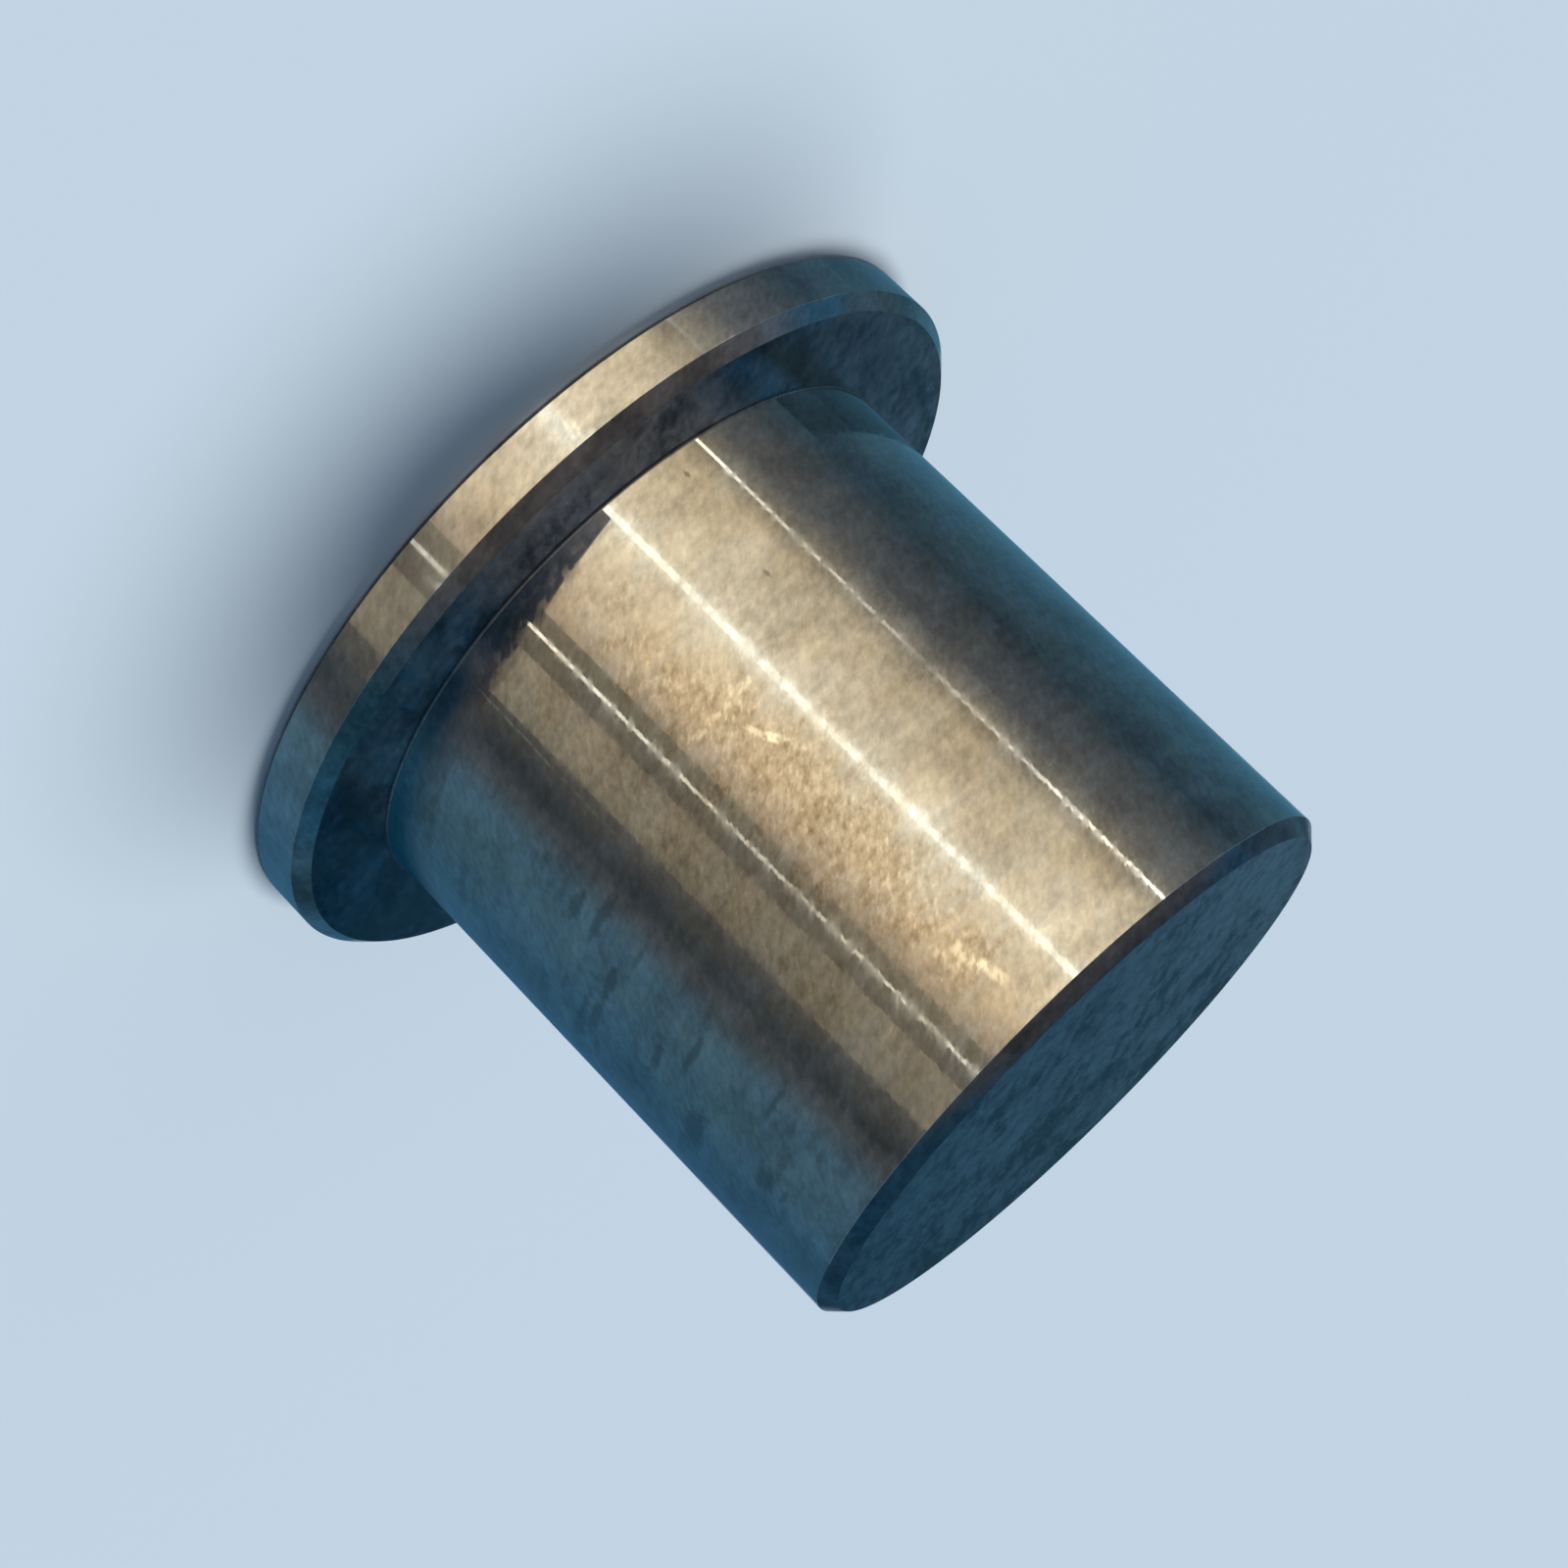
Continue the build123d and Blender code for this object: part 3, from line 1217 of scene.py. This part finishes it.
@dataclass(frozen=True)
class LightCard:
    """A light in front of the bushing, as the metal shows it: a band along the body and across the rim.

    Args:
        name: Name of the card.
        shows_from: Angle round the bushing, in degrees, where the card's first edge shows.
        shows_to: The same of its second edge.
        glow: Its light.
        on_body: Strength of the light on the body.
        on_rim: Its strength on the flange's rim.
        on_lip: Its strength in the lowest part of the body, over the flange.
        on_foot: Its strength there, where no other light shows.
        columns: Number of faces from edge to edge.
        fan: Share by which the band's angle shrinks from the root to the nose.
        fan_reach: Length of the card over which it shrinks so.
        lip_fades: Angles between which the light leaves that lowest part.
        lip_step: Share of it that the light leaves at once.
        levels: Strength of the band at even steps from its start to its end.
        lip_most: Largest share of the lowest part that the light leaves.
        fan_most: Largest multiple of the fan that is used.
    """

    name: str
    shows_from: float
    shows_to: float
    glow: Glow
    on_body: float = 1.0
    on_rim: float = 1.1
    on_lip: float = 0.0
    on_foot: float = 0.0
    columns: int = 8
    fan: float = 0.03
    fan_reach: float = 100.0 * MM
    lip_fades: tuple[float, float] = (-10.7, 14.3)
    lip_step: float = 0.31
    levels: Levels = EVEN
    lip_most: float = 0.93
    fan_most: float = 1.2

    def build(self, catches: dict[Sheet, Catch], eye: Vector) -> None:
        """Adds the sheets of the card.

        Args:
            catches: Where the sheets of each kind lie.
            eye: Place of the eye that the card is meant for.
        """
        strengths = {
            Sheet.BODY: self.on_body,
            Sheet.RIM: self.on_rim,
            Sheet.LIP: self.on_lip,
            Sheet.FOOT: self.on_foot,
        }
        for sheet, catch in catches.items():
            if strengths[sheet]:
                name = f"{self.name}_{sheet.value}"
                light = self.glow.material(name, strengths[sheet])
                levels = self.levels if sheet in (Sheet.BODY, Sheet.FOOT) else EVEN
                place = partial(self.point, sheet, catch, eye)
                hang_sheet(name, self.columns, catch.rows, place, light, levels)

    def point(self, sheet: Sheet, catch: Catch, eye: Vector, share: float, depth: float) -> Vector:
        """Finds a point of one of the card's sheets.

        Args:
            sheet: Kind of the sheet.
            catch: Where the sheets of this kind lie.
            eye: Place of the eye.
            share: Share of the sheet's width, from 0 to 1.
            depth: Share of its length, from 0 to 1.

        Returns:
            The point in metres.
        """
        angle = self.shows_from + (self.shows_to - self.shows_from) * share
        near = catch.near
        first, last = self.lip_fades
        if sheet is Sheet.LIP and angle > first:
            faded = self.lip_step + (1.0 - self.lip_step) * (angle - first) / (last - first)
            near += (catch.far - catch.near) * min(faded, self.lip_most)
        reach = near * (catch.far / near) ** depth
        if sheet is Sheet.BODY:
            angle *= 1.0 - self.fan * min((reach - near) / self.fan_reach, self.fan_most)
        return catch.point(angle, reach, eye)


@dataclass(frozen=True)
class DimWall:
    """A dim wall behind the bushing, which its flat faces show.

    Args:
        name: Name of the wall.
        far_left: Colour of the wall at its end on the side of -X.
        left: Colour a little to that side of its middle.
        right: Colour a little to the side of +X.
        far_right: Colour at its end on that side.
        low: Height of its lower edge.
        high: Height of its upper edge.
        distance: Distance of its upper edge from the axis.
        foot_distance: Distance of its lower edge.
        foot_spread: How much wider its angles are at the lower edge.
        half_spread: Angle from its middle to each side, in degrees.
        half_fade: Angle over which its colour changes, to each side of its middle.
        levels: Strength of its light at even steps from its lower edge to its upper edge.
        columns: Number of faces from side to side of each of its parts.
        rows: Number of faces from edge to edge.
    """

    name: str
    far_left: Colour
    left: Colour
    right: Colour
    far_right: Colour
    low: float
    high: float
    distance: float = 330.0 * MM
    foot_distance: float = 330.0 * MM
    foot_spread: float = 1.0
    half_spread: float = 62.0
    half_fade: float = 12.0
    levels: Levels = EVEN
    columns: int = 6
    rows: int = 8

    def build(self) -> None:
        """Adds the wall in three parts, from +X to -X."""
        parts = (
            ("right", self.half_spread, self.half_fade, Glow(self.far_right, self.right)),
            ("middle", self.half_fade, -self.half_fade, Glow(self.right, self.left)),
            ("left", -self.half_fade, -self.half_spread, Glow(self.left, self.far_left)),
        )
        for side, start, end, glow in parts:

            def place(share: float, depth: float) -> Vector:
                """Gives the point of the wall at two shares."""
                spread = self.foot_spread + (1.0 - self.foot_spread) * depth
                turn = math.radians(start + (end - start) * share) * spread
                reach = self.foot_distance + (self.distance - self.foot_distance) * depth
                height = self.low + (self.high - self.low) * depth
                return Vector((reach * math.sin(turn), reach * math.cos(turn), height))

            name = f"{self.name}_{side}"
            hang_sheet(name, self.columns, self.rows, place, glow.material(name), self.levels)


# Colours and levels of the cards and walls: rounded values, set by comparing renders with the photo.
LEFT_LEVELS = (1.05, 1.04, 0.91, 1.06, 1.15, 1.15, 1.15)
RIGHT_LEVELS = (1.18, 1.1, 0.84, 1.02, 1.1, 1.1, 1.1)
LIGHT_CARDS = (
    LightCard("far_left", -82.0, -60.0, Glow((0.072, 0.235, 0.37), (0.08, 0.195, 0.29)), on_rim=0.85,
              on_lip=0.5),
    LightCard("left_wall", -60.0, -50.0, Glow((0.083, 0.193, 0.275), (0.068, 0.125, 0.175)), on_lip=0.6),
    LightCard("left_corner", -50.0, -36.0, Glow((0.075, 0.14, 0.19), (0.275, 0.285, 0.29), 1.15),
              on_lip=1.0, levels=(1.0, 0.97, 0.77, 1.08, 1.2, 1.2, 1.2)),
    LightCard("left_curtain", -36.0, -31.1, Glow((0.31, 0.32, 0.32), (0.68, 0.62, 0.48), 1.3), on_lip=0.95),
    LightCard("left_strip", -31.15, -30.5, Glow((4.0, 3.8, 3.2), (4.0, 3.8, 3.2)), on_rim=0.25, on_lip=1.0,
              columns=1, levels=(0.7, 0.6, 0.2, 1.1, 1.8, 1.8, 1.8)),
    LightCard("left_fringe", -30.5, -26.5, Glow((0.76, 0.66, 0.49), (1.44, 1.22, 0.83), 1.2), on_rim=1.0,
              on_lip=1.0, levels=LEFT_LEVELS),
    LightCard("left_panel", -26.5, -13.2, Glow((1.44, 1.22, 0.83), (2.17, 1.9, 1.38), 1.35), on_lip=1.0,
              levels=LEFT_LEVELS),
    LightCard("glow_left", -13.2, -11.7, Glow((2.17, 1.9, 1.38), (2.65, 2.45, 1.9)), on_rim=1.05,
              on_lip=1.0),
    LightCard("main_strip", -11.75, -10.5, Glow((3.7, 3.5, 2.9), (3.7, 3.5, 2.9)), on_rim=0.72, on_lip=1.0,
              columns=2, lip_fades=(-10.0, 14.3)),
    LightCard("glow_right", -10.5, -8.9, Glow((2.6, 2.4, 1.85), (2.17, 1.89, 1.37)), on_rim=1.12,
              on_lip=1.0),
    LightCard("right_panel", -8.9, 1.0, Glow((2.17, 1.89, 1.36), (1.64, 1.33, 0.89)), on_lip=1.0,
              levels=(1.0, 0.99, 0.91, 1.03, 1.08, 1.08, 1.08)),
    LightCard("right_panel_end", 1.0, 7.5, Glow((1.64, 1.33, 0.89), (0.92, 0.75, 0.54), 0.9), on_lip=1.0,
              lip_fades=(-10.7, 16.0), levels=RIGHT_LEVELS),
    LightCard("gap_left", 7.5, 10.35, Glow((0.54, 0.475, 0.34), (0.47, 0.42, 0.31)), on_lip=1.0),
    LightCard("right_strip", 10.35, 10.95, Glow((3.2, 3.0, 2.5), (3.2, 3.0, 2.5)), on_rim=0.62, on_lip=1.0,
              columns=1, lip_fades=(-10.7, 29.3), levels=(1.0, 0.9, 0.44, 0.72, 0.85, 0.85, 0.85)),
    LightCard("gap_right", 10.95, 14.3, Glow((0.45, 0.41, 0.32), (0.36, 0.32, 0.25)), on_lip=1.0,
              lip_fades=(-10.7, 29.3)),
    LightCard("side_panel", 14.3, 23.3, Glow((0.63, 0.55, 0.4), (0.48, 0.44, 0.34), 1.2), on_lip=1.0,
              lip_fades=(-40.0, 31.0), levels=RIGHT_LEVELS),
    LightCard("corner", 23.3, 30.2, Glow((0.27, 0.26, 0.235), (0.092, 0.115, 0.132), 0.65)),
    LightCard("corner_edge", 30.2, 33.0, Glow((0.092, 0.115, 0.132), (0.15, 0.172, 0.195))),
    LightCard("right_corner", 33.0, 35.8, Glow((0.15, 0.172, 0.195), (0.145, 0.215, 0.265))),
    LightCard("right_edge", 35.8, 39.5, Glow((0.145, 0.215, 0.265), (0.142, 0.295, 0.42))),
    LightCard("right_wall", 39.5, 60.0, Glow((0.142, 0.295, 0.42), (0.078, 0.23, 0.385))),
    LightCard("far_right", 60.0, 82.0, Glow((0.068, 0.21, 0.35), (0.035, 0.12, 0.24)), on_rim=1.05),
)

# Of each joint between two foot cards: angle, colour next to the body, and colour farther out.
FOOT_COLOURS = (
    (-12.0, (0.42, 0.42, 0.4), (0.42, 0.42, 0.4)), (-5.0, (0.2, 0.21, 0.235), (0.25, 0.25, 0.25)),
    (0.0, (0.12, 0.14, 0.17), (0.2, 0.2, 0.2)), (7.0, (0.05, 0.068, 0.1), (0.14, 0.14, 0.14)),
    (14.0, (0.028, 0.056, 0.092), (0.12, 0.12, 0.13)), (17.0, (0.03, 0.056, 0.095), (0.13, 0.125, 0.135)),
    (20.5, (0.08, 0.1, 0.135), (0.135, 0.13, 0.14)), (26.0, (0.022, 0.06, 0.115), (0.14, 0.14, 0.15)),
    (34.0, (0.02, 0.068, 0.13), (0.108, 0.14, 0.18)), (40.0, (0.028, 0.105, 0.19), (0.097, 0.18, 0.25)),
    (47.0, (0.026, 0.12, 0.22), (0.092, 0.205, 0.305)), (55.0, (0.013, 0.1, 0.2), (0.08, 0.202, 0.325)),
    (65.0, (0.006, 0.062, 0.126), (0.056, 0.168, 0.28)), (82.0, (0.001, 0.03, 0.068), (0.035, 0.09, 0.145)),
)


# A foot card turns into the light above it from one share of its length to another. Each share is
# given as its value up to FOOT_EVEN_TO degrees, its drop for each degree past them, and its least value.
FOOT_EVEN_TO = 20.0
FOOT_BEGINS, FOOT_WHOLE = (0.45, 0.008, 0.2), (1.0, 0.011, 0.8)
FOOT_STEPS = 8


def foot_levels(middle: float) -> Levels:
    """Says how far a foot card has turned into the light above it, at even steps along it.

    Args:
        middle: Angle of the card's middle, in degrees.

    Returns:
        The levels, from 0 to 1.
    """
    past = max(middle - FOOT_EVEN_TO, 0.0)
    begins, whole = (max(share - drop * past, least) for share, drop, least in (FOOT_BEGINS, FOOT_WHOLE))
    shares = (step / FOOT_STEPS for step in range(FOOT_STEPS + 1))
    return tuple(min(max((share - begins) / (whole - begins), 0.0), 1.0) for share in shares)


def foot_cards() -> tuple[LightCard, ...]:
    """Makes the dim cards at the foot of the body, each of which fades into the light above it.

    Returns:
        The cards, from left to right.
    """
    cards = []
    for number, (first, second) in enumerate(zip(FOOT_COLOURS, FOOT_COLOURS[1:])):
        (start, near, far), (end, next_near, next_far) = first, second
        glow = Glow(near, next_near, far=Glow(far, next_far))
        cards.append(LightCard(f"foot_{number}", start, end, glow, on_body=0.0, on_rim=0.0, on_foot=1.0,
                               columns=2, levels=foot_levels((start + end) / 2)))
    return tuple(cards)


DIM_WALLS = (
    DimWall("low_wall", (0.092, 0.19, 0.27), (0.09, 0.2, 0.295), (0.034, 0.108, 0.182),
            (0.043, 0.135, 0.215), low=30.0 * MM, high=105.0 * MM, levels=(0.3, 0.33, 0.4, 0.69, 1.66)),
    DimWall("high_wall", (0.07, 0.14, 0.197), (0.046, 0.1, 0.156), (0.0, 0.036, 0.09),
            (0.052, 0.165, 0.265), low=105.0 * MM, high=270.0 * MM, levels=(1.4, 0.8, 0.95, 1.0, 1.0)),
    DimWall("back_rug", (0.072, 0.2, 0.32), (0.42, 0.5, 0.57), (0.42, 0.5, 0.57), (0.035, 0.12, 0.24),
            low=0.02 * MM, high=61.5 * MM, distance=420.0 * MM, foot_distance=33.2 * MM, foot_spread=3.2,
            half_spread=14.0, half_fade=3.0),
)


SHEET_ROWS = {Sheet.BODY: 10, Sheet.RIM: 2, Sheet.LIP: 4, Sheet.FOOT: 8}


@dataclass(frozen=True)
class Studio:
    """Pale floor, pale horizon, a soft overhead lamp and the lights that the metal shows.

    Args:
        floor_colour: Colour of the floor.
        horizon: Colour of the room at the horizon.
        front: Colour of the room above the horizon, on the camera's side.
        ceiling: Colour of the room overhead, on the same side.
        back: Colour of the room above the horizon on the far side.
        shade: Colour of the room overhead, on the far side.
        front_way: Direction of the camera's side.
        horizon_band: Rises of a direction over which the horizon gives way to the room above.
        overhead_band: Rises over which that room turns into what is overhead.
        front_lift: How much farther the camera's side reaches overhead.
        front_band: Nearness to front_way over which the far side turns into the camera's side.
        floor_size: Side of the floor in metres.
        sun_level: Light that the overhead softbox gives on the floor.
        sun_height: Its height above the horizon, in degrees.
        sun_spread: Its width, in degrees.
        card_start: Distance from the axis at which the cards for the body start.
        card_end: Distance at which they end.
        card_slope: Their rise for one along.
        gap: Clearance between the sheets and what they lie on.
        cards: The light cards.
        walls: The dim walls that the flat faces show.
    """

    floor_colour: Colour = (0.545, 0.62, 0.675)
    horizon: Colour = (0.542, 0.66, 0.772)
    front: Colour = (0.4, 0.46, 0.57)
    ceiling: Colour = (0.15, 0.15, 0.16)
    back: Colour = (0.036, 0.215, 0.45)
    shade: Colour = (0.03, 0.12, 0.2)
    front_way: tuple[float, float, float] = (-0.54, -0.84, 0.3)
    horizon_band: tuple[float, float] = (0.16, 0.34)
    overhead_band: tuple[float, float] = (0.3, 0.8)
    front_lift: float = 0.48
    front_band: tuple[float, float] = (0.44, 0.98)
    floor_size: float = 40.0
    sun_level: float = 3.05
    sun_height: float = 62.0
    sun_spread: float = 30.0
    card_start: float = 33.2 * MM
    card_end: float = 420.0 * MM
    card_slope: float = 0.16
    gap: float = 0.04 * MM
    cards: tuple[LightCard, ...] = LIGHT_CARDS + foot_cards()
    walls: tuple[DimWall, ...] = DIM_WALLS

    def build(self, sizes: Sizes, eye: Vector) -> None:
        """Sets up the whole studio.

        Args:
            sizes: Sizes of the bushing.
            eye: Place of the camera.
        """
        self.lay_floor()
        self.paint_world()
        self.hang_softbox()
        for wall in self.walls:
            wall.build()
        catches = self.catches(sizes)
        for card in self.cards:
            card.build(catches, eye)
        log.info("studio: floor, world, softbox, %d walls and %d light cards",
                 len(self.walls), len(self.cards))

    def catches(self, sizes: Sizes) -> dict[Sheet, Catch]:
        """Says where the sheets of each kind lie.

        Args:
            sizes: Sizes of the bushing.

        Returns:
            The place of each kind of sheet.
        """
        body, flange, top = sizes.body_radius, sizes.flange_radius, sizes.flange_top
        inner = body + sizes.root_fillet
        places = {
            Sheet.BODY: (body, self.card_start, self.card_end, self.gap, self.card_slope),
            Sheet.RIM: (flange, flange + self.gap, self.card_start, self.gap, 0.0),
            Sheet.LIP: (body, inner, flange - self.gap, top + self.gap, 0.0),
            Sheet.FOOT: (body, inner, flange - self.gap, top + self.gap / 2, 0.0),
        }
        return {sheet: Catch(*place, SHEET_ROWS[sheet]) for sheet, place in places.items()}

    def lay_floor(self) -> None:
        """Lays the plain pale floor."""
        bpy.ops.object.select_all(action="DESELECT")
        bpy.ops.mesh.primitive_plane_add(size=self.floor_size)
        floor = bpy.context.active_object
        floor.name = "floor"
        made = bpy.data.materials.new("pale_floor")
        made.use_nodes = True
        graph = Graph(made.node_tree)
        shader = graph.wire("ShaderNodeBsdfDiffuse", inputs={"Color": (*self.floor_colour, 1.0)})
        graph.node("ShaderNodeOutputMaterial", inputs={"Surface": shader})
        floor.data.materials.append(made)

    def paint_world(self) -> None:
        """Fades the room from the pale horizon to a dim ceiling, which is darkest on the far side."""
        world = bpy.data.worlds.new("room")
        world.use_nodes = True
        graph = Graph(world.node_tree)
        way = graph.wire("ShaderNodeTexCoord", "Generated")
        split = graph.node("ShaderNodeSeparateXYZ", inputs={0: way})
        x, y, rise = (Wire(graph, split.outputs[name]) for name in "XYZ")
        overhead = graph.rise(rise, *self.overhead_band)
        toward = x * self.front_way[0] + y * self.front_way[1] + rise * self.front_way[2]
        frontal = graph.rise(toward + overhead * self.front_lift, *self.front_band)
        near = graph.blend(overhead, self.front, self.ceiling)
        upper = graph.blend(frontal, graph.blend(overhead, self.back, self.shade), near)
        colour = graph.blend(graph.rise(rise, *self.horizon_band), self.horizon, upper)
        background = graph.wire("ShaderNodeBackground", inputs={"Color": colour, "Strength": 1.0})
        graph.node("ShaderNodeOutputWorld", inputs={"Surface": background})
        bpy.context.scene.world = world

    def hang_softbox(self) -> None:
        """Hangs the large overhead lamp behind the bushing, out of sight of the camera and the gloss."""
        data = bpy.data.lights.new("overhead_softbox", "SUN")
        data.energy = self.sun_level
        data.angle = math.radians(self.sun_spread)
        lamp = bpy.data.objects.new("overhead_softbox", data)
        lamp.rotation_euler = (math.radians(self.sun_height - 90.0), 0.0, 0.0)
        lamp.visible_camera = False
        lamp.visible_glossy = False
        bpy.context.scene.collection.objects.link(lamp)


def main() -> None:
    """Builds the camera, the bushing and the studio in order."""
    logging.basicConfig(level=logging.INFO, format="%(name)s: %(message)s")
    bpy.context.scene.view_settings.view_transform = "Standard"
    sizes = Sizes.from_frame()
    camera = Viewpoint().build()
    piece = Bushing(sizes).build()
    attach(piece, "root")
    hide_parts(NODE)
    Studio().build(sizes, camera.matrix_world.translation)


if __name__ == "__main__":
    main()
